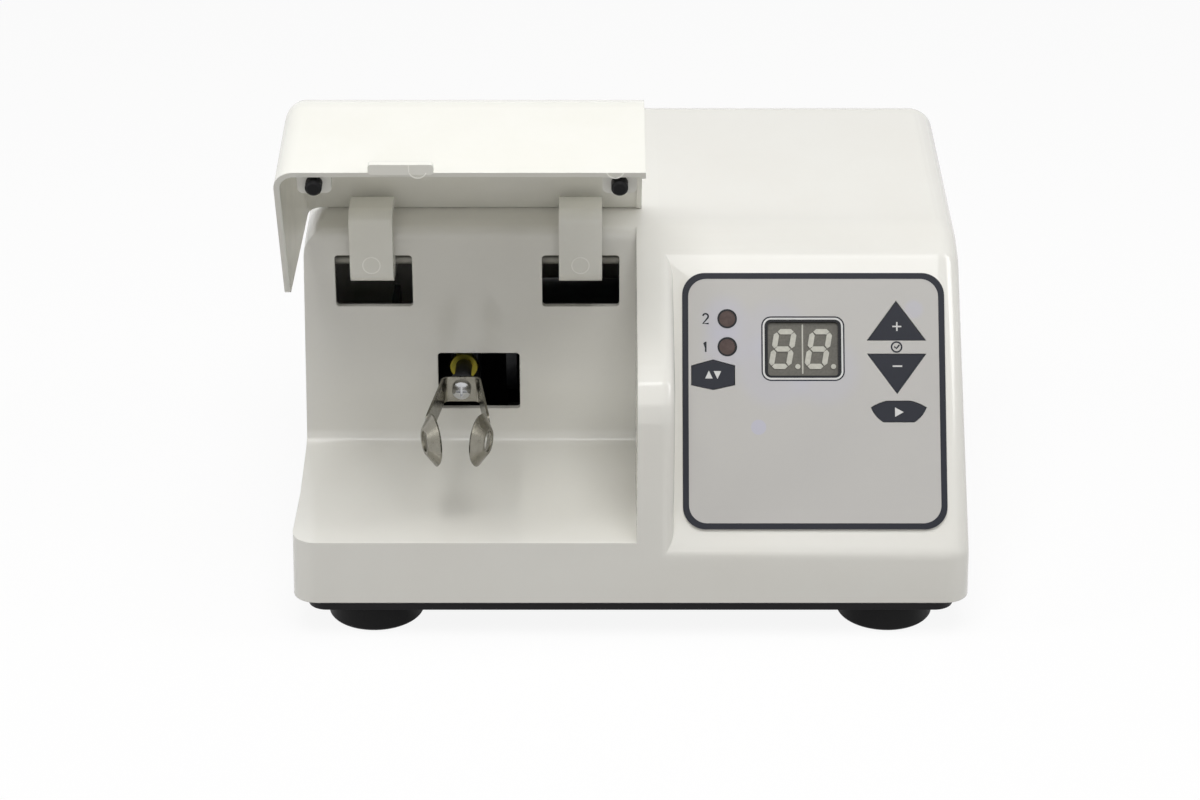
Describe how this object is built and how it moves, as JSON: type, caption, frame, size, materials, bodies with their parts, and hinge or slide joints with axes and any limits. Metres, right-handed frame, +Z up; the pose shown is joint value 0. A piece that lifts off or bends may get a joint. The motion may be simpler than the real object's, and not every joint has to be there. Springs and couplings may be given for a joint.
{
  "type": "dental amalgamator",
  "caption": "Bench capsule mixer for dental fillings: white casing with open mixing chamber, hinged lid, spring fork on a swinging arm and inclined key panel.",
  "frame": {"origin": "on the ground, in the middle of the footprint of the whole object with its lid open", "axes": "+X to the user's right, +Y to the back, +Z up"},
  "size_m": [0.241, 0.1969, 0.1883],
  "materials": {
    "white_abs": "gloss",
    "lid_abs": "gloss",
    "black_abs": "satin",
    "black_rubber": "matt",
    "zinc_screws": "satin",
    "polished_steel": "polished",
    "spring_steel": "satin",
    "dark_steel": "satin",
    "brass_nut": "satin",
    "overlay_film": "satin",
    "key_print": "satin",
    "digit_white": "satin",
    "lamp_window": "gloss",
    "circuit_board": "satin",
    "dark_parts": "satin"
  },
  "bodies": {
    "root": {"casing": "white_abs", "base_tray": "black_abs", "foot_front_left": "black_rubber", "foot_front_right": "black_rubber", "foot_rear_left": "black_rubber", "foot_rear_right": "black_rubber", "foot_screws": "zinc_screws", "casing_screws": "zinc_screws", "panel_overlay": "overlay_film", "display_module": "black_abs", "display_digits": "digit_white", "indicator_lamps": "lamp_window", "control_board": "circuit_board", "key_switches": "dark_parts", "board_spacers": "zinc_screws", "hinge_rod": "polished_steel", "rod_clips": "zinc_screws", "hinge_bracket_left": "lid_abs", "hinge_bracket_right": "lid_abs", "lid_sensor": "black_abs", "drive_frame": "dark_steel", "frame_isolators": "black_rubber", "support_bearing": "polished_steel", "motor_can": "dark_steel", "motor_end_bell": "black_abs", "motor_screws": "zinc_screws", "centring_spring_upper": "spring_steel", "centring_spring_lower": "spring_steel", "power_board": "circuit_board", "transformer": "dark_steel", "power_parts": "dark_parts", "mains_inlet": "black_abs", "inlet_pins": "zinc_screws", "inlet_screws": "zinc_screws", "fuse_holder": "black_abs", "switch_frame": "black_abs"},
    "lid": {"lid_shell": "lid_abs", "lid_arm_left": "lid_abs", "lid_arm_right": "lid_abs", "lid_buffer_left": "black_rubber", "lid_buffer_right": "black_rubber", "lid_magnet": "zinc_screws"},
    "arm": {"swing_hub": "dark_steel", "hub_bearing": "polished_steel", "arm_stud": "dark_steel", "stud_nut": "brass_nut", "fork_collar": "polished_steel", "fork_clip": "spring_steel", "fork_screw": "polished_steel"},
    "rotor": {"motor_shaft": "polished_steel", "oblique_sleeve": "polished_steel", "balance_disc": "dark_steel"},
    "mode_key": {"key_mode": "key_print"},
    "up_key": {"key_up": "key_print"},
    "down_key": {"key_down": "key_print"},
    "start_key": {"key_start": "key_print"},
    "rocker": {"switch_rocker": "black_abs"}
  },
  "joints": [
    {"name": "lid_hinge", "type": "hinge", "parent": "root", "child": "lid", "pos_m": [-0.055, -0.0105, 0.11497], "axis": [1, 0, 0], "range_deg": [0, 81]},
    {"name": "arm_swing", "type": "hinge", "parent": "root", "child": "arm", "pos_m": [-0.0615, 0.0155, 0.0705], "axis": [0, 0, 1], "range_deg": [-6, 6], "stiffness_Nm_per_rad": 0.6, "deforming": ["centring_spring_upper", "centring_spring_lower"]},
    {"name": "motor_spin", "type": "hinge", "parent": "root", "child": "rotor", "pos_m": [-0.0615, 0.0155, 0.0705], "axis": [1, 0, 0], "continuous": true},
    {"name": "mode_key_press", "type": "slide", "parent": "root", "child": "mode_key", "axis": [0, -0.8368, 0.5476], "range_m": [-0.0004, 0], "stiffness_N_per_m": 900},
    {"name": "up_key_press", "type": "slide", "parent": "root", "child": "up_key", "axis": [0, -0.8368, 0.5476], "range_m": [-0.0004, 0], "stiffness_N_per_m": 900},
    {"name": "down_key_press", "type": "slide", "parent": "root", "child": "down_key", "axis": [0, -0.8368, 0.5476], "range_m": [-0.0004, 0], "stiffness_N_per_m": 900},
    {"name": "start_key_press", "type": "slide", "parent": "root", "child": "start_key", "axis": [0, -0.8368, 0.5476], "range_m": [-0.0004, 0], "stiffness_N_per_m": 900},
    {"name": "rocker_tilt", "type": "hinge", "parent": "root", "child": "rocker", "pos_m": [0.044, 0.0895, 0.04], "axis": [0, 0, 1], "range_deg": [0, 18]}
  ]
}
